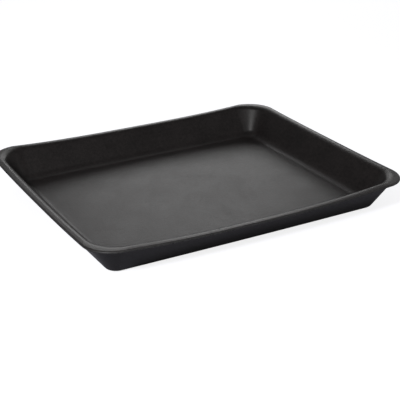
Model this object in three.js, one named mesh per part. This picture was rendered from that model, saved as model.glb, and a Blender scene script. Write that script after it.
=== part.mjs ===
// A foam meat tray: one sheet of polystyrene foam, pressed hot between two moulds and trimmed.
// It is a single solid with a flat floor, four walls that lean outwards, conical corners and a
// turned-out lip. The lip dips in the middle of each side, so the four corners stand highest.
//
// Frame: millimetres, +Z up, X along the length. The origin is the middle of the underside.
//
// The skin is a loft. A section through the wall gives stations, each with an inset from the
// lip's edge, a height and a corner radius. Each station becomes one closed ring round the tray.

import * as THREE from "three";

// Overall size
const LENGTH = 280; // over the lip, mid side
const WIDTH = 235;
const HEIGHT = 28; // the lip's crown at the corners

// Foam
const FLOOR_THICKNESS = 3.5;
const WALL_THICKNESS = 3.2; // square to the wall
const LIP_THICKNESS = 2.6; // where the lip leaves the wall
const LIP_EDGE_THICKNESS = 1.8; // the trimmed edge, pressed thinner

// Section
const WALL_LEAN = THREE.MathUtils.degToRad(32); // from upright
const LIP_WIDTH = 6.5; // from the trimmed edge to the inner wall's line
const LIP_SLOPE = THREE.MathUtils.degToRad(12); // the lip's top falls towards its edge
const FLOOR_FILLET = 10; // inside, floor to wall
const FOOT_ROUNDING = 5; // outside, underside to wall
const MOUTH_ROLL = 6; // inside, wall to lip
const UNDER_LIP_FILLET = 4.5;
const EDGE_ROUNDING = 0.7;

// Corner radii seen from above
const LIP_CORNER = 22.5;
const MOUTH_CORNER = 25;
const UNDER_LIP_CORNER = 20.5;
const FLOOR_CORNER = 8;
const FOOT_CORNER = 7.5;

// How far the sides bow outwards and dip in their middle
const LONG_SIDE_BOW = 2.6;
const SHORT_SIDE_BOW = 1;
const FOOT_LONG_SIDE_BOW = 0.9;
const LONG_SIDE_DIP = 3.2;
const SHORT_SIDE_DIP = 1.1;
const DIP_SHAPE = 2.7; // power of the dip's curve along a side; 2 is a parabola

// Facets
const CORNER_STEPS = 8; // in each quarter turn
const HALF_SIDE_STEPS = 5; // in half of each side
const FILLET_STEPS = 6; // across each fillet of the section
const EDGE_STEPS = 3; // across the small rounding of the trimmed edge

const FOAM_COLOUR = 0x2e2c2d;

// Heights and insets of the section's sharp corners, worked out from the sizes above.
const lean = Math.tan(WALL_LEAN);
const wallAcross = WALL_THICKNESS / Math.cos(WALL_LEAN); // the wall's thickness, measured level
const mouthHeight = HEIGHT + crownRise();
const edgeTop = mouthHeight - LIP_WIDTH * Math.tan(LIP_SLOPE);
const edgeFoot = edgeTop - LIP_EDGE_THICKNESS;
const footInset = LIP_WIDTH + mouthHeight * lean - wallAcross;
const floorInset = LIP_WIDTH + (mouthHeight - FLOOR_THICKNESS) * lean;
const underLip = HEIGHT - LIP_THICKNESS;
const underLipInset = footInset - underLip * lean;

// How far the section's sharp mouth corner stands above the rounded crown.
function crownRise() {
  const halfTurn = (Math.PI / 2 - WALL_LEAN + LIP_SLOPE) / 2;
  const reach = MOUTH_ROLL * Math.tan(halfTurn);
  return reach * Math.sin(LIP_SLOPE) - MOUTH_ROLL * (1 - Math.cos(LIP_SLOPE));
}

// The section's sharp corners, from the floor up the inside, over the lip and down the outside.
function sectionCorners() {
  return [
    corner(floorInset, FLOOR_THICKNESS, FLOOR_CORNER, FLOOR_FILLET, FILLET_STEPS),
    corner(LIP_WIDTH, mouthHeight, MOUTH_CORNER, MOUTH_ROLL, FILLET_STEPS),
    corner(0, edgeTop, LIP_CORNER, EDGE_ROUNDING, EDGE_STEPS),
    corner(0, edgeFoot, LIP_CORNER, EDGE_ROUNDING, EDGE_STEPS),
    corner(underLipInset, underLip, UNDER_LIP_CORNER, UNDER_LIP_FILLET, FILLET_STEPS),
    corner(footInset, 0, FOOT_CORNER, FOOT_ROUNDING, FILLET_STEPS),
  ];
}

function corner(inset, height, planRadius, rounding, steps) {
  return { at: new THREE.Vector2(inset, height), planRadius, rounding, steps };
}

// Rounds one corner of the section into stations along its arc. The corner radius seen from
// above eases from one wall's value to the next, as a quadratic curve.
function roundedCorner(before, here, after) {
  const back = before.at.clone().sub(here.at);
  const on = after.at.clone().sub(here.at);
  const backLength = back.length();
  const onLength = on.length();
  back.normalize();
  on.normalize();
  const halfAngle = Math.acos(back.dot(on)) / 2;
  const reach = here.rounding / Math.tan(halfAngle);
  const start = here.at.clone().addScaledVector(back, reach);
  const end = here.at.clone().addScaledVector(on, reach);
  const towards = back.clone().add(on).normalize();
  const centre = here.at.clone().addScaledVector(towards, here.rounding / Math.sin(halfAngle));
  const startAngle = start.clone().sub(centre).angle();
  const endAngle = end.clone().sub(centre).angle();
  const fullTurn = 2 * Math.PI;
  const sweep = THREE.MathUtils.euclideanModulo(endAngle - startAngle + Math.PI, fullTurn) - Math.PI;
  const startRadius = mix(here.planRadius, before.planRadius, reach / backLength);
  const endRadius = mix(here.planRadius, after.planRadius, reach / onLength);
  const stations = [];
  for (let step = 0; step <= here.steps; step++) {
    const t = step / here.steps;
    const angle = startAngle + sweep * t;
    stations.push({
      inset: centre.x + here.rounding * Math.cos(angle),
      height: centre.y + here.rounding * Math.sin(angle),
      planRadius: (1 - t) ** 2 * startRadius + 2 * t * (1 - t) * here.planRadius + t ** 2 * endRadius,
    });
  }
  return stations;
}

const mix = THREE.MathUtils.lerp;

// All stations. The floor and the underside run on level to the tray's middle.
function sectionStations() {
  const corners = sectionCorners();
  const first = corners[0];
  const last = corners[corners.length - 1];
  const middle = WIDTH / 2;
  const floorMiddle = corner(middle, first.at.y, first.planRadius, 0, 0);
  const footMiddle = corner(middle, last.at.y, last.planRadius, 0, 0);
  const path = [floorMiddle, ...corners, footMiddle];
  return corners.flatMap((here, index) => roundedCorner(path[index], here, path[index + 2]));
}

// Places round a rounded rectangle, anticlockwise. Each has a point on a square of half size 1,
// which stays at the square's corner through the quarter turn, and the way out from there.
function outlinePlaces() {
  const quarter = [];
  for (let step = 0; step < HALF_SIDE_STEPS; step++) {
    quarter.push({ on: [1, step / HALF_SIDE_STEPS], angle: 0 });
  }
  for (let step = 0; step <= CORNER_STEPS; step++) {
    quarter.push({ on: [1, 1], angle: ((step / CORNER_STEPS) * Math.PI) / 2 });
  }
  for (let step = HALF_SIDE_STEPS - 1; step > 0; step--) {
    quarter.push({ on: [step / HALF_SIDE_STEPS, 1], angle: Math.PI / 2 });
  }
  const origin = new THREE.Vector2();
  return [0, 1, 2, 3].flatMap((turn) =>
    quarter.map(({ on, angle }) => {
      const turned = (turn * Math.PI) / 2;
      const square = new THREE.Vector2(...on).rotateAround(origin, turned);
      return { square, out: new THREE.Vector2(Math.cos(angle + turned), Math.sin(angle + turned)) };
    }),
  );
}

// One ring: the rounded rectangle at a station, bowed outwards along its sides and dipped in
// the middle of each side. Bow and dip grow with height up the wall and are whole at the lip.
function ring({ inset, height, planRadius }, places) {
  const upTheWall = THREE.MathUtils.inverseLerp(FLOOR_THICKNESS, edgeFoot, height);
  const share = THREE.MathUtils.clamp(upTheWall, 0, 1);
  const longSideBow = mix(FOOT_LONG_SIDE_BOW, LONG_SIDE_BOW, share);
  const halfLength = LENGTH / 2 - SHORT_SIDE_BOW - inset;
  const halfWidth = WIDTH / 2 - LONG_SIDE_BOW - inset;
  return places.map(({ square, out }) => {
    const along = (square.x * (halfLength - planRadius) + out.x * planRadius) / halfLength;
    const across = (square.y * (halfWidth - planRadius) + out.y * planRadius) / halfWidth;
    const x = along * (halfLength + SHORT_SIDE_BOW * (1 - across ** 2));
    const y = across * (halfWidth + longSideBow * (1 - along ** 2));
    const dip =
      LONG_SIDE_DIP * (1 - Math.abs(square.x) ** DIP_SHAPE) +
      SHORT_SIDE_DIP * (1 - Math.abs(square.y) ** DIP_SHAPE);
    return new THREE.Vector3(x, y, height - share * dip);
  });
}

// Joins the rings into one closed skin that faces out, with a fan over the floor and another
// over the underside.
function loftedSkin(rings) {
  const around = rings[0].length;
  const points = rings.flat();
  const floorMiddle = points.length;
  const footMiddle = points.length + 1;
  points.push(new THREE.Vector3(0, 0, rings[0][0].z));
  points.push(new THREE.Vector3(0, 0, rings[rings.length - 1][0].z));
  const faces = [];
  for (let i = 0; i < around; i++) {
    const next = (i + 1) % around;
    faces.push(floorMiddle, i, next);
    for (let k = 0; k < rings.length - 1; k++) {
      const near = k * around;
      const far = near + around;
      faces.push(near + i, far + i, far + next);
      faces.push(near + i, far + next, near + next);
    }
    const last = (rings.length - 1) * around;
    faces.push(footMiddle, last + next, last + i);
  }
  const geometry = new THREE.BufferGeometry().setFromPoints(points);
  geometry.setIndex(faces);
  geometry.computeVertexNormals();
  return geometry;
}

function foamTray() {
  const places = outlinePlaces();
  const rings = sectionStations().map((station) => ring(station, places));
  const foam = new THREE.MeshStandardMaterial({
    color: FOAM_COLOUR,
    roughness: 0.5,
    metalness: 0,
  });
  const mesh = new THREE.Mesh(loftedSkin(rings), foam);
  mesh.name = "foam_tray";
  return mesh;
}

const tray = new THREE.Group();
tray.add(foamTray());

export default tray;
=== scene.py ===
# %% [markdown]
# # A black foam meat tray
#
# The real tray is one piece: a sheet of polystyrene foam, warmed until it is soft, pressed
# between two moulds and cut out with a die. It has a flat floor, four walls that lean outwards,
# corners that open like cones and a lip that turns out all the way round.
#
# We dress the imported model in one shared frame. Everything is in metres, +Z points up and the
# origin is the middle of the tray's underside, so nothing has to be fitted by eye.

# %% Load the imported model
import math

import bpy
from mathutils import Matrix, Vector


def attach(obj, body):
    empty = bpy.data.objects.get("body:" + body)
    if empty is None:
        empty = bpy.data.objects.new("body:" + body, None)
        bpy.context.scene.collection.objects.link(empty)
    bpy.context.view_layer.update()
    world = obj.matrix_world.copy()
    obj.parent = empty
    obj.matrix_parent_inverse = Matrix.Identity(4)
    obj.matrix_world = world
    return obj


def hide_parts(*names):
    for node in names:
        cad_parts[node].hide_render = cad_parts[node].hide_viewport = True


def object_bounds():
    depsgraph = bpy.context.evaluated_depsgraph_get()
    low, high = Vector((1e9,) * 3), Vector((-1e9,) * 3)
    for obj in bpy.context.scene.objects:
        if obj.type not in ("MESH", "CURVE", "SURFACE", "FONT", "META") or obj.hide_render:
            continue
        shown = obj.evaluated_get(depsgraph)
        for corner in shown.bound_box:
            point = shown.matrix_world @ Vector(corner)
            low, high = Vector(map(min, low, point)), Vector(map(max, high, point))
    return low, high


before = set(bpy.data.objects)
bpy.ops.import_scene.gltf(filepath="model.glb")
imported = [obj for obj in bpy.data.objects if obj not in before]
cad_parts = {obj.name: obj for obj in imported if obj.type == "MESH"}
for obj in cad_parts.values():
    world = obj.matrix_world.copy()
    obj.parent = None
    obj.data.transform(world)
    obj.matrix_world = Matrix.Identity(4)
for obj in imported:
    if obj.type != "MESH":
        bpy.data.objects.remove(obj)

MM = 0.001

solid_low, solid_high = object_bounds()
print("nodes:", list(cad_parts))
print("solid tray, mm:", [round(v / MM, 2) for v in solid_high - solid_low])

# %% [markdown]
# ## The camera
#
# A photograph can be matched by eye, by dragging the view about, or by measuring. Here the
# view was measured once: how far round the tray the camera stands, how high, how far away and
# where the picture's middle points. A long lens from over 0.8 m away keeps the far side almost
# as wide as the near side, which is why the tray looks so calm in the picture.

# %% Place the camera
VIEW_AZIMUTH = math.radians(-29.44)  # 0 looks along +Y
VIEW_ELEVATION = math.radians(24.04)
VIEW_DISTANCE = 0.8330
VIEW_TO_RIGHT = 0.0068  # where the middle of the picture meets the origin's plane
VIEW_UPWARDS = -0.0043
FOCAL_PER_FRAME = 983.5 / 400  # focal length as a multiple of the frame's width

to_camera = Vector((
    math.sin(VIEW_AZIMUTH) * math.cos(VIEW_ELEVATION),
    -math.cos(VIEW_AZIMUTH) * math.cos(VIEW_ELEVATION),
    math.sin(VIEW_ELEVATION),
))
camera_right = Vector((math.cos(VIEW_AZIMUTH), math.sin(VIEW_AZIMUTH), 0))
camera_up = to_camera.cross(camera_right)

camera_data = bpy.data.cameras.new("photo_camera")
camera_data.sensor_width = 36
camera_data.lens = FOCAL_PER_FRAME * camera_data.sensor_width
camera_data.clip_start = 0.05
camera_data.clip_end = 50
camera = bpy.data.objects.new("photo_camera", camera_data)
bpy.context.scene.collection.objects.link(camera)
turn = Matrix((camera_right, camera_up, to_camera)).transposed().to_4x4()
place = to_camera * VIEW_DISTANCE + camera_right * VIEW_TO_RIGHT + camera_up * VIEW_UPWARDS
camera.matrix_world = Matrix.Translation(place) @ turn
bpy.context.scene.camera = camera
print("lens, mm:", round(camera_data.lens, 1), "camera at", [round(v, 3) for v in place])

# %% [markdown]
# ## Sums inside a node tree
#
# The tray's shape follows a rule, so Geometry Nodes can make it: one section through the wall,
# carried round a rounded rectangle. Such a rule is mostly arithmetic, and a tree of hundreds of
# Math nodes is hard to read in code. So we first make a small helper. A `Sum` stands for one
# socket, and writing `a + b` adds the Math node and links it.

# %% A helper for sums in a tree
def calculate(tree, operation, *values):
    """Adds one Math node and returns its result."""
    node = tree.nodes.new("ShaderNodeMath")
    node.operation = operation
    for slot, value in zip(node.inputs, values):
        plug(tree, value, slot)
    return Sum(tree, node.outputs[0])


class Sum:
    """One number in a node tree. Arithmetic on it adds Math nodes."""

    def __init__(self, tree, socket):
        self.tree = tree
        self.socket = socket

    def math(self, operation, *others):
        return calculate(self.tree, operation, self, *others)

    def __add__(self, other):
        return self.math("ADD", other)

    def __sub__(self, other):
        return self.math("SUBTRACT", other)

    def __rsub__(self, number):
        return calculate(self.tree, "SUBTRACT", number, self)

    def __mul__(self, other):
        return self.math("MULTIPLY", other)

    def __truediv__(self, other):
        return self.math("DIVIDE", other)

    def between(self, low, high):
        """0 at low, 1 at high, and held there beyond them."""
        share = (self - low) / (high - low)
        share.socket.node.use_clamp = True
        return share

    def bend(self, power):
        """1 in the middle of a side, 0 at its ends."""
        return 1 - self.math("ABSOLUTE").math("POWER", power)


def plug(tree, value, slot):
    """Links a Sum or a socket to a slot, or sets the slot to a plain value."""
    if isinstance(value, Sum):
        value = value.socket
    if isinstance(value, bpy.types.NodeSocket):
        tree.links.new(value, slot)
    else:
        slot.default_value = value


def plug_by_name(tree, node, inputs):
    """Plugs values into a node's inputs. An underscore stands for a space in their names."""
    for name, value in inputs.items():
        plug(tree, value, node.inputs[name.replace("_", " ")])


def add_node(tree, kind, settings=None, **inputs):
    """Adds a node, sets its properties, then plugs its inputs by name."""
    node = tree.nodes.new(kind)
    for name, value in (settings or {}).items():
        setattr(node, name, value)
    plug_by_name(tree, node, inputs)
    return node


def vector(tree, x, y, z):
    return add_node(tree, "ShaderNodeCombineXYZ", X=x, Y=y, Z=z).outputs[0]


def parts(tree, source):
    node = add_node(tree, "ShaderNodeSeparateXYZ", Vector=source)
    return [Sum(tree, out) for out in node.outputs]


def choose(tree, kind, index, values):
    """The value whose turn it is: an Index Switch with one slot for each value."""
    node = tree.nodes.new("GeometryNodeIndexSwitch")
    node.data_type = kind
    while len(node.index_switch_items) < len(values):
        node.index_switch_items.new()
    plug(tree, index, node.inputs["Index"])
    for place, value in enumerate(values):
        plug(tree, value, node.inputs[place + 1])
    return node.outputs[0]


print("helpers ready")

# %% [markdown]
# ## The tray's sizes
#
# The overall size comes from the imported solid. The rest are the sizes that a mould maker would
# write on the drawing: thicknesses, the wall's lean, fillets, and the corner radii seen from
# above, which differ from the floor to the lip and so make the corners conical. The last group
# says how far each side bows out and how far its lip dips between the corners.
#
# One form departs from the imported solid. The photograph's lip mirrors the same light as the
# floor, so here it lies nearly level, with a rounder upper edge. It stays inside the solid's box.

# %% Write the sizes down
length, width, height = solid_high - solid_low

tray_sizes = {
    "Length": length,
    "Width": width,
    "Height": height,
    "Floor Thickness": 3.5 * MM,
    "Wall Thickness": 3.2 * MM,
    "Lip Thickness": 2.6 * MM,
    "Lip Edge Thickness": 1.8 * MM,
    "Wall Lean": math.radians(32),
    "Lip Width": 6.5 * MM,
    "Lip Slope": math.radians(5),
    "Floor Fillet": 10 * MM,
    "Foot Rounding": 5 * MM,
    "Mouth Roll": 6 * MM,
    "Under Lip Fillet": 4.5 * MM,
    "Upper Edge Rounding": 1.3 * MM,
    "Lower Edge Rounding": 0.4 * MM,
    "Lip Corner": 22.5 * MM,
    "Mouth Corner": 25 * MM,
    "Under Lip Corner": 20.5 * MM,
    "Floor Corner": 8 * MM,
    "Foot Corner": 7.5 * MM,
    "Long Side Bow": 2.6 * MM,
    "Short Side Bow": 1 * MM,
    "Foot Long Side Bow": 0.9 * MM,
    "Long Side Dip": 3.2 * MM,
    "Short Side Dip": 1.1 * MM,
    "Dip Shape": 2.7,
    "Floor Unevenness": 0.1 * MM,
}
print("tray, mm:", [round(v / MM, 1) for v in (length, width, height)])

# %% [markdown]
# ## The section
#
# We draw half a section through the tray with eight sharp corners: from the floor, up the
# inside, over the lip, down the outside and under the foot. X is how far in from the lip's edge
# a corner lies and Z is its height. The Fillet Curve node then rounds each corner.
#
# There is one trick. Each corner of the section also needs its corner radius seen from above,
# and that radius should change smoothly over a fillet. So we carry it in Y, made a thousand
# times smaller, where it rides along with the rounding and is too small to disturb it.

# %% Start the tree and draw the section
RADIUS_SHRINK = 1000
FILLET_STEPS = 12

tree = bpy.data.node_groups.new("pressed_tray", "GeometryNodeTree")
tree.interface.new_socket("Geometry", in_out="INPUT", socket_type="NodeSocketGeometry")
for name in tray_sizes:
    tree.interface.new_socket(name, in_out="INPUT", socket_type="NodeSocketFloat")
for name in ("Skin", "Cut Edge"):
    tree.interface.new_socket(name, in_out="INPUT", socket_type="NodeSocketMaterial")
tree.interface.new_socket("Geometry", in_out="OUTPUT", socket_type="NodeSocketGeometry")
group_in = tree.nodes.new("NodeGroupInput")
group_out = tree.nodes.new("NodeGroupOutput")


def size(name):
    return Sum(tree, group_in.outputs[name])


lean = size("Wall Lean").math("TANGENT")
slope = size("Lip Slope")
half_turn = (math.pi / 2 - size("Wall Lean") + slope) / 2
roll_reach = size("Mouth Roll") * half_turn.math("TANGENT")
roll_lift = size("Mouth Roll") * (1 - slope.math("COSINE"))
mouth_height = size("Height") + roll_reach * slope.math("SINE") - roll_lift
edge_top = mouth_height - size("Lip Width") * slope.math("TANGENT")
edge_foot = edge_top - size("Lip Edge Thickness")
wall_across = size("Wall Thickness") / size("Wall Lean").math("COSINE")
foot_inset = size("Lip Width") + mouth_height * lean - wall_across
floor_inset = size("Lip Width") + (mouth_height - size("Floor Thickness")) * lean
under_lip = size("Height") - size("Lip Thickness")
under_lip_inset = foot_inset - under_lip * lean

section_corners = [
    (floor_inset + size("Floor Fillet"), size("Floor Corner"), size("Floor Thickness"), 0.0),
    (floor_inset, size("Floor Corner"), size("Floor Thickness"), size("Floor Fillet")),
    (size("Lip Width"), size("Mouth Corner"), mouth_height, size("Mouth Roll")),
    (0.0, size("Lip Corner"), edge_top, size("Upper Edge Rounding")),
    (0.0, size("Lip Corner"), edge_foot, size("Lower Edge Rounding")),
    (under_lip_inset, size("Under Lip Corner"), under_lip, size("Under Lip Fillet")),
    (foot_inset, size("Foot Corner"), 0.0, size("Foot Rounding")),
    (foot_inset + size("Foot Rounding"), size("Foot Corner"), 0.0, 0.0),
]
corner_places = [vector(tree, x, r / RADIUS_SHRINK, z) for x, r, z, _ in section_corners]
corner_roundings = [rounding for _, _, _, rounding in section_corners]

index = add_node(tree, "GeometryNodeInputIndex").outputs[0]
line = add_node(tree, "GeometryNodeMeshLine", Count=len(section_corners))
sharp = add_node(
    tree, "GeometryNodeSetPosition",
    Geometry=line.outputs[0], Position=choose(tree, "VECTOR", index, corner_places),
)
sharp_curve = add_node(tree, "GeometryNodeMeshToCurve", Mesh=sharp.outputs[0])
section = add_node(
    tree, "GeometryNodeFilletCurve", {"mode": "POLY"},
    Curve=sharp_curve.outputs[0], Count=FILLET_STEPS,
    Radius=choose(tree, "FLOAT", index, corner_roundings),
)
print("section corners:", len(section_corners))

# %% [markdown]
# ## Carrying the section round
#
# Now a flat grid becomes the tray. Its rows are the points of the section, plus a few more that
# shrink to a single point and so close the floor and the underside. Its columns go once round
# the tray. Each quarter is half a short side, a corner and half a long side.
#
# A point of a rounded rectangle is `corner * (half - r) + out * r`: `corner` stays on a square
# of half size 1 and `out` turns through the quarter circle. That one formula makes straight
# sides and round corners, for any radius, with no joining or cutting.

# %% Turn grid columns into places round the outline
QUARTER_COLUMNS = 48
CORNER_START, CORNER_END = 0.29, 0.71  # shares of a quarter's columns
CLOSING_ROWS = 7

section_count = add_node(
    tree, "GeometryNodeAttributeDomainSize", {"component": "CURVE"}, Geometry=section.outputs[0],
)
section_points = Sum(tree, section_count.outputs["Point Count"])
row_count = section_points + 2 * CLOSING_ROWS
grid = add_node(
    tree, "GeometryNodeMeshGrid",
    Vertices_X=4 * QUARTER_COLUMNS + 1, Vertices_Y=row_count,
)
point = Sum(tree, index)
column = ((point + 0.5) / row_count).math("FLOOR")
row = point - column * row_count

quarter = ((column + 0.5) / QUARTER_COLUMNS).math("FLOOR")
along_quarter = column / QUARTER_COLUMNS - quarter
rise = along_quarter.between(0, CORNER_START)
angle = along_quarter.between(CORNER_START, CORNER_END) * (math.pi / 2)
fall = (1 - along_quarter).between(0, 1 - CORNER_END)


def turned(source):
    """Turns a vector by whole quarters, so that one quarter serves for all four."""
    node = add_node(
        tree, "ShaderNodeVectorRotate", {"rotation_type": "Z_AXIS"},
        Vector=source, Angle=quarter * (math.pi / 2),
    )
    return parts(tree, node.outputs[0])


corner_x, corner_y, _ = turned(vector(tree, fall, rise, 0.0))
out_x, out_y, _ = turned(vector(tree, angle.math("COSINE"), angle.math("SINE"), 0.0))
print("columns:", 4 * QUARTER_COLUMNS)

# %% [markdown]
# ## Bow, dip and closing
#
# The sides aren't straight. Each bows outwards a little and its lip dips between the corners,
# and both fade out towards the floor, because the floor is flat and its outline nearly straight.
# A parabola gives the bow, and a slightly flatter curve the dip. The floor also gets a very
# slight unevenness, as pressed foam has once it cools: without it the sheen looks like glass.

# %% Place every point of the grid
WAVES_PER_METRE = 22.0  # of the floor's unevenness
FLOOR_FADE = 1.6  # the unevenness ends at this multiple of the floor's thickness

section_row = row - CLOSING_ROWS
section_at = add_node(
    tree, "GeometryNodeSampleIndex",
    {"data_type": "FLOAT_VECTOR", "domain": "POINT", "clamp": True},
    Geometry=section.outputs[0],
)
plug(tree, add_node(tree, "GeometryNodeInputPosition").outputs[0], section_at.inputs["Value"])
plug(tree, section_row, section_at.inputs["Index"])
inset, shrunk_radius, level = parts(tree, section_at.outputs[0])
radius = shrunk_radius * RADIUS_SHRINK

from_ends = row.math("MINIMUM", row_count - 1 - row)
spread = (from_ends / CLOSING_ROWS).math("MINIMUM", 1)

half_length = size("Length") / 2 - size("Short Side Bow") - inset
half_width = size("Width") / 2 - size("Long Side Bow") - inset
along = (corner_x * (half_length - radius) + out_x * radius) / half_length
across = (corner_y * (half_width - radius) + out_y * radius) / half_width
share = level.between(size("Floor Thickness"), edge_foot)
bow = size("Foot Long Side Bow") + (size("Long Side Bow") - size("Foot Long Side Bow")) * share
x = along * (half_length + size("Short Side Bow") * across.bend(2))
y = across * (half_width + bow * along.bend(2))
power = size("Dip Shape")
dip = size("Long Side Dip") * corner_x.bend(power) + size("Short Side Dip") * corner_y.bend(power)

near_floor = 1 - level.between(size("Floor Thickness"), size("Floor Thickness") * FLOOR_FADE)
top_side = section_row.math("LESS_THAN", section_points / 2)
inner_floor = near_floor * top_side
waves = add_node(
    tree, "ShaderNodeTexNoise", {"noise_dimensions": "2D"},
    Vector=vector(tree, x * spread, y * spread, 0.0),
    Scale=WAVES_PER_METRE, Detail=1.0, Roughness=0.4,
)
unevenness = (Sum(tree, waves.outputs[0]) - 0.5) * size("Floor Unevenness") * inner_floor
z = level - share * dip + unevenness

pressed = add_node(
    tree, "GeometryNodeSetPosition",
    Geometry=grid.outputs["Mesh"], Position=vector(tree, x * spread, y * spread, z),
)
print("the grid is placed by", len(tree.nodes), "nodes")

# %% [markdown]
# ## One closed skin with two finishes
#
# Merging by distance closes the seam where the grid meets itself and the two points in the
# middle. Rolled up this way the grid is inside out, so its faces are flipped to point outwards.
# The volume that we print later is positive only then.
#
# The die leaves a cut edge round the lip, where the foam's cells are open, so those faces get a
# finish of their own. Two numbers are stored on the points for this: `inset` finds the cut, and
# `lip_press` says how hard the mould squeezed the top of the lip.

# %% Close the skin and give it its materials
HARD_PRESSED, SOFT_PRESSED = 0.3, 0.8  # shares of the lip's width, in from its edge
MERGE_DISTANCE = 0.005 * MM
CUT_DEPTH = 0.15 * MM  # how far in from the lip's edge a point still belongs to the cut

stored = add_node(
    tree, "GeometryNodeStoreNamedAttribute", {"data_type": "FLOAT", "domain": "POINT"},
    Geometry=pressed.outputs[0], Name="inset", Value=inset,
)
off_the_press = inset.between(size("Lip Width") * HARD_PRESSED, size("Lip Width") * SOFT_PRESSED)
lip_press = (1 - off_the_press) * top_side
pressed_lip = add_node(
    tree, "GeometryNodeStoreNamedAttribute", {"data_type": "FLOAT", "domain": "POINT"},
    Geometry=stored.outputs[0], Name="lip_press", Value=lip_press,
)
closed = add_node(
    tree, "GeometryNodeMergeByDistance", Geometry=pressed_lip.outputs[0], Distance=MERGE_DISTANCE,
)
outward = add_node(tree, "GeometryNodeFlipFaces", Mesh=closed.outputs[0])
smooth = add_node(
    tree, "GeometryNodeSetShadeSmooth", {"domain": "FACE"},
    Geometry=outward.outputs[0], Shade_Smooth=True,
)
whole = add_node(tree, "GeometryNodeRealizeInstances", Geometry=smooth.outputs[0])
in_skin = add_node(
    tree, "GeometryNodeSetMaterial",
    Geometry=whole.outputs[0], Material=group_in.outputs["Skin"],
)
stored_inset = add_node(
    tree, "GeometryNodeInputNamedAttribute", {"data_type": "FLOAT"}, Name="inset",
)
on_cut = Sum(tree, stored_inset.outputs[0]).math("LESS_THAN", CUT_DEPTH)
in_edge = add_node(
    tree, "GeometryNodeSetMaterial",
    Geometry=in_skin.outputs[0], Material=group_in.outputs["Cut Edge"], Selection=on_cut,
)
tree.links.new(in_edge.outputs[0], group_out.inputs["Geometry"])
print("tree ready,", len(tree.links), "links")

# %% [markdown]
# ## Two effects that both finishes share
#
# Foam is made of closed cells a bit over half a millimetre across. The hot mould flattens them
# into a skin, which keeps a fine pebbled relief, and the die slices them open. So both finishes
# need the same cells, at different depths. A Voronoi texture gives cells, and a little noise
# bends them so that they don't look drawn.
#
# The second effect is mottling: slow changes over centimetres, where the sheet stretched or
# cooled unevenly. Each effect is a node group, made once and used in both materials.

# %% Make the cell and mottling groups
CELL_BEND = 0.4 * MM  # how far the noise moves a cell's outline
SPECKS_PER_PATCH = 11  # how many times finer the specks are than the patches


def new_group(name, inputs, outputs):
    group = bpy.data.node_groups.new(name, "ShaderNodeTree")
    for label, kind, value in inputs:
        socket = group.interface.new_socket(label, in_out="INPUT", socket_type=kind)
        if value is not None:
            socket.default_value = value
    for label, kind in outputs:
        group.interface.new_socket(label, in_out="OUTPUT", socket_type=kind)
    return group, group.nodes.new("NodeGroupInput"), group.nodes.new("NodeGroupOutput")


def foam_cells_group():
    group, start, end = new_group(
        "foam_cells",
        [("Vector", "NodeSocketVector", None), ("Cell Size", "NodeSocketFloat", 0.6 * MM)],
        [("Height", "NodeSocketFloat"), ("Cell Shade", "NodeSocketFloat")],
    )
    cells_per_metre = Sum(group, start.outputs["Cell Size"]).math("POWER", -1)
    bent = add_node(
        group, "ShaderNodeTexNoise", Vector=start.outputs["Vector"],
        Scale=cells_per_metre * 0.7, Detail=1.0,
    )
    shift = add_node(group, "ShaderNodeVectorMath", {"operation": "MULTIPLY_ADD"})
    plug(group, bent.outputs["Color"], shift.inputs[0])
    plug(group, (CELL_BEND, CELL_BEND, CELL_BEND), shift.inputs[1])
    plug(group, start.outputs["Vector"], shift.inputs[2])
    cells = add_node(
        group, "ShaderNodeTexVoronoi", {"feature": "SMOOTH_F1"},
        Vector=shift.outputs[0], Scale=cells_per_metre, Smoothness=0.7, Randomness=1.0,
    )
    plug(group, 1 - Sum(group, cells.outputs["Distance"]), end.inputs["Height"])
    shade = add_node(group, "ShaderNodeSeparateColor", Color=cells.outputs["Color"])
    plug(group, shade.outputs[0], end.inputs["Cell Shade"])
    return group


def mottling_group():
    group, start, end = new_group(
        "mottling",
        [("Vector", "NodeSocketVector", None), ("Patch Size", "NodeSocketFloat", 25 * MM)],
        [("Patches", "NodeSocketFloat"), ("Specks", "NodeSocketFloat")],
    )
    patches_per_metre = Sum(group, start.outputs["Patch Size"]).math("POWER", -1)
    patches = add_node(
        group, "ShaderNodeTexNoise", Vector=start.outputs["Vector"],
        Scale=patches_per_metre, Detail=3.0, Roughness=0.55,
    )
    specks = add_node(
        group, "ShaderNodeTexNoise", Vector=start.outputs["Vector"],
        Scale=patches_per_metre * SPECKS_PER_PATCH, Detail=3.0, Roughness=0.6,
    )
    plug(group, patches.outputs[0], end.inputs["Patches"])
    plug(group, specks.outputs[0], end.inputs["Specks"])
    return group


foam_cells = foam_cells_group()
mottling = mottling_group()
print("groups:", foam_cells.name, mottling.name)

# %% [markdown]
# ## The pressed skin
#
# Black foam is never quite black. Seen straight on it is a soft charcoal, and at a low angle the
# skin picks up a broad silvery sheen from the lamps behind it. That sheen is plain Fresnel
# reflection spread wide by a fairly rough surface, so the Principled shader gives it by itself:
# the base colour stays dark, and roughness decides how far the sheen spreads.
#
# The mottling moves the colour and the roughness by a few hundredths only. The cells go into a
# bump of a few hundredths of a millimetre: enough to break up the sheen when one looks closely.
#
# The mould squeezes the lip hardest, which closes its cells to a denser, smoother skin. So the
# lip gets a coat, weighted by `lip_press`, and catches a fine bright line along its edge.

# %% Make the pressed skin
SKIN_DARK = (0.0026, 0.0019, 0.0019, 1)
SKIN_LIGHT = (0.0170, 0.0138, 0.0136, 1)
COLOUR_A, COLOUR_B, COLOUR_RESULT = 6, 7, 2  # where the Mix node keeps its colour sockets


def new_material(name):
    material = bpy.data.materials.new(name)
    material.use_nodes = True
    return material, material.node_tree, material.node_tree.nodes["Principled BSDF"]


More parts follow.
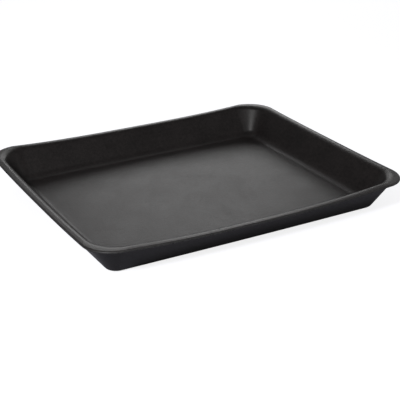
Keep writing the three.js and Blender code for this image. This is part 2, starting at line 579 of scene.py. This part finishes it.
def use_group(tree, group, **inputs):
    node = tree.nodes.new("ShaderNodeGroup")
    node.node_tree = group
    plug_by_name(tree, node, inputs)
    return node


def ranged(tree, value, low, high, out_low, out_high):
    node = add_node(
        tree, "ShaderNodeMapRange",
        Value=value, From_Min=low, From_Max=high, To_Min=out_low, To_Max=out_high,
    )
    return Sum(tree, node.outputs[0])


def blended(tree, amount, first, second):
    node = add_node(tree, "ShaderNodeMix", {"data_type": "RGBA"}, Factor=amount)
    plug(tree, first, node.inputs[COLOUR_A])
    plug(tree, second, node.inputs[COLOUR_B])
    return node.outputs[COLOUR_RESULT]


def skin_material():
    material, nodes, shader = new_material("pressed_black_foam")
    place = add_node(nodes, "ShaderNodeTexCoord").outputs["Object"]
    patches = use_group(nodes, mottling, Vector=place, Patch_Size=28 * MM)
    cells = use_group(nodes, foam_cells, Vector=place, Cell_Size=0.75 * MM)
    patch = Sum(nodes, patches.outputs["Patches"])
    speck = Sum(nodes, patches.outputs["Specks"])
    cell = Sum(nodes, cells.outputs["Cell Shade"])
    tint = ranged(nodes, patch * 0.35 + speck * 0.45 + cell * 0.2, 0.3, 0.7, 0, 1)
    plug(nodes, blended(nodes, tint, SKIN_DARK, SKIN_LIGHT), shader.inputs["Base Color"])
    rough = ranged(nodes, patch * 0.4 + speck * 0.6, 0.35, 0.65, 0.32, 0.40)
    plug(nodes, rough, shader.inputs["Roughness"])
    shader.inputs["IOR"].default_value = 1.33
    press = add_node(nodes, "ShaderNodeAttribute", {"attribute_name": "lip_press"})
    plug(nodes, press.outputs["Fac"], shader.inputs["Coat Weight"])
    shader.inputs["Coat Roughness"].default_value = 0.36
    shader.inputs["Coat IOR"].default_value = 1.5
    relief = Sum(nodes, cells.outputs["Height"]) + speck * 0.6
    bump = add_node(nodes, "ShaderNodeBump", Height=relief, Strength=1.0, Distance=0.035 * MM)
    plug(nodes, bump.outputs[0], shader.inputs["Normal"])
    return material


pressed_skin = skin_material()
print("material:", pressed_skin.name)

# %% [markdown]
# ## The cut edge
#
# Where the die went through, each cell is an open cup. Its thin walls scatter more light than
# the skin does, so the cut is a touch paler, dull, and visibly grainy.

# %% Make the cut edge
CUT_DARK = (0.012, 0.0115, 0.012, 1)
CUT_LIGHT = (0.060, 0.058, 0.060, 1)


def cut_edge_material():
    material, nodes, shader = new_material("cut_foam_edge")
    place = add_node(nodes, "ShaderNodeTexCoord").outputs["Object"]
    patches = use_group(nodes, mottling, Vector=place, Patch_Size=18 * MM)
    cells = use_group(nodes, foam_cells, Vector=place, Cell_Size=0.6 * MM)
    cell = Sum(nodes, cells.outputs["Height"])
    speck = Sum(nodes, patches.outputs["Specks"])
    tint = ranged(nodes, cell * 0.7 + speck * 0.3, 0.35, 0.85, 0, 1)
    plug(nodes, blended(nodes, tint, CUT_DARK, CUT_LIGHT), shader.inputs["Base Color"])
    rough = ranged(nodes, patches.outputs["Patches"], 0.3, 0.7, 0.72, 0.86)
    plug(nodes, rough, shader.inputs["Roughness"])
    shader.inputs["IOR"].default_value = 1.4
    bump = add_node(nodes, "ShaderNodeBump", Height=cell, Strength=1.0, Distance=0.12 * MM)
    plug(nodes, bump.outputs[0], shader.inputs["Normal"])
    return material


cut_edge = cut_edge_material()
print("material:", cut_edge.name)

# %% [markdown]
# ## Press the tray
#
# The tree runs as a modifier on an empty mesh. Its inputs are set by each socket's identifier
# before anything is evaluated. Then the result is copied to a plain mesh: a finished tray with
# no modifier left on it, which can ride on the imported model's body and stand for its solid.

# %% Run the tree and keep the mesh
starter = bpy.data.objects.new("tray_starter", bpy.data.meshes.new("tray_starter"))
bpy.context.scene.collection.objects.link(starter)
modifier = starter.modifiers.new("press", "NODES")
modifier.node_group = tree
wanted = {**tray_sizes, "Skin": pressed_skin, "Cut Edge": cut_edge}
for item in tree.interface.items_tree:
    if item.in_out == "INPUT" and item.name in wanted:
        modifier[item.identifier] = wanted[item.name]

depsgraph = bpy.context.evaluated_depsgraph_get()
tray_mesh = bpy.data.meshes.new_from_object(starter.evaluated_get(depsgraph), depsgraph=depsgraph)
tray_mesh.name = "pressed_tray"
bpy.data.objects.remove(starter)
tray = bpy.data.objects.new("pressed_tray", tray_mesh)
bpy.context.scene.collection.objects.link(tray)

tray_mesh.calc_loop_triangles()
corners = [v.co for v in tray_mesh.vertices]
volume = sum(
    corners[a].dot(corners[b].cross(corners[c])) for a, b, c in
    (t.vertices for t in tray_mesh.loop_triangles)
) / 6
print("triangles:", len(tray_mesh.loop_triangles))
print("volume, cubic cm:", round(volume * 1e6, 1))
print("lowest and highest, mm:", [
    (round(min(c[i] for c in corners) / MM, 2), round(max(c[i] for c in corners) / MM, 2))
    for i in range(3)
])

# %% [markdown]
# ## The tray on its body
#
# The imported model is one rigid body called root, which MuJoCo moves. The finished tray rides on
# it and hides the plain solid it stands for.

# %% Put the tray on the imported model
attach(tray, "root")
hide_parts("foam_tray")
print("the tray stands for the packed solid")

# %% [markdown]
# ## The studio
#
# A dark, satin thing shows mostly what it mirrors, so the main lamp is a soft one that stands low
# behind the tray. The floor mirrors it at a low angle and turns silver-grey, while the walls face
# the dim front of the room, stay dark and show the tray's depth. Near the far walls the floor
# grows dark again, because there it mirrors the walls. A small lamp at the front left puts a
# highlight into the far corner. Three weak panels fill in the rest: one above the main lamp, one
# at the right and one at the front.
#
# Each lamp is a soft rectangle at the same distance, placed by two angles. Its brightness is
# given as radiance, the level that the lamp itself would show in a mirror.

# %% Light the tray
LAMP_DISTANCE = 1.5


def from_angles(azimuth, elevation):
    """A direction: azimuth from +Y towards +X, elevation above the ground, in degrees."""
    a, e = math.radians(azimuth), math.radians(elevation)
    return Vector((math.sin(a) * math.cos(e), math.cos(a) * math.cos(e), math.sin(e)))


def lamp(name, azimuth, elevation, across, down, radiance):
    """A soft rectangle that looks at the tray. Its power follows from how bright it looks."""
    data = bpy.data.lights.new(name, "AREA")
    data.shape = "RECTANGLE"
    data.size, data.size_y = across, down
    data.energy = radiance * math.pi * across * down
    rig = bpy.data.objects.new(name, data)
    bpy.context.scene.collection.objects.link(rig)
    way = from_angles(azimuth, elevation)
    rig.location = way * LAMP_DISTANCE
    rig.rotation_euler = way.to_track_quat("Z", "Y").to_euler()
    print(name, "power, W:", round(data.energy, 2))


lamp("back_softbox", 29, 24, 0.64, 0.44, 2.35)
lamp("back_high", 22, 46, 0.80, 0.40, 0.5)
lamp("right_panel", 110, 20, 0.90, 0.70, 0.5)
lamp("front_fill", 185, 50, 1.20, 0.90, 0.7)
lamp("corner_lamp", 235, 37, 0.19, 0.19, 130.0)

# %% [markdown]
# ## The white ground
#
# The ground is a real floor, so it catches the tray's soft shadow. A glow for rays that look
# straight at it lifts it to paper white without putting more light on the tray. The room behind
# it does the same, so no horizon shows from a low angle. Rays that mirror them get a much smaller
# share, because this tray has no metal or glass and its dark foam would turn silver all over.

# %% Lay the ground and set the room
GROUND_SIZE = 12
GROUND_GAP = 0.05 * MM  # under the tray, so that the two faces don't fight
GROUND_COLOUR = (0.32, 0.32, 0.37, 1)
WHITE = (1, 1, 1, 1)
GROUND_GLOW = 0.83  # added where it is seen straight on
MIRRORED_GLOW = 0.04  # added where it is seen in a mirror or through glass
ROOM_LEVEL = 0.17  # the room's own light, for every ray


def glow_when_seen(tree, straight, mirrored):
    """A strength for rays that reach a thing straight from the camera, or by way of a mirror."""
    rays = tree.nodes.new("ShaderNodeLightPath")
    is_seen = Sum(tree, rays.outputs["Is Camera Ray"])
    is_glossy = Sum(tree, rays.outputs["Is Glossy Ray"])
    is_mirrored = is_glossy.math("MAXIMUM", rays.outputs["Is Transmission Ray"])
    return is_seen * straight + is_mirrored * mirrored


ground_mesh = bpy.data.meshes.new("ground")
edge = GROUND_SIZE / 2
under = solid_low.z - GROUND_GAP
ground_mesh.from_pydata(
    [(-edge, -edge, under), (edge, -edge, under), (edge, edge, under), (-edge, edge, under)],
    [], [(0, 1, 2, 3)],
)
ground = bpy.data.objects.new("ground", ground_mesh)
bpy.context.scene.collection.objects.link(ground)

paper, paper_nodes, paper_shader = new_material("white_paper")
paper_shader.inputs["Base Color"].default_value = GROUND_COLOUR
paper_shader.inputs["Roughness"].default_value = 0.9
paper_shader.inputs["Specular IOR Level"].default_value = 0.1
paper_shader.inputs["Emission Color"].default_value = WHITE
glow = glow_when_seen(paper_nodes, GROUND_GLOW, MIRRORED_GLOW)
plug(paper_nodes, glow, paper_shader.inputs["Emission Strength"])
ground_mesh.materials.append(paper)

room = bpy.data.worlds.new("studio_room")
room.use_nodes = True
air = room.node_tree.nodes["Background"]
air.inputs["Color"].default_value = WHITE
glow = glow_when_seen(room.node_tree, 1 - ROOM_LEVEL, MIRRORED_GLOW)
plug(room.node_tree, glow + ROOM_LEVEL, air.inputs["Strength"])
bpy.context.scene.world = room
bpy.context.scene.view_settings.view_transform = "Standard"
print("ground", GROUND_SIZE, "m wide, room level", ROOM_LEVEL)
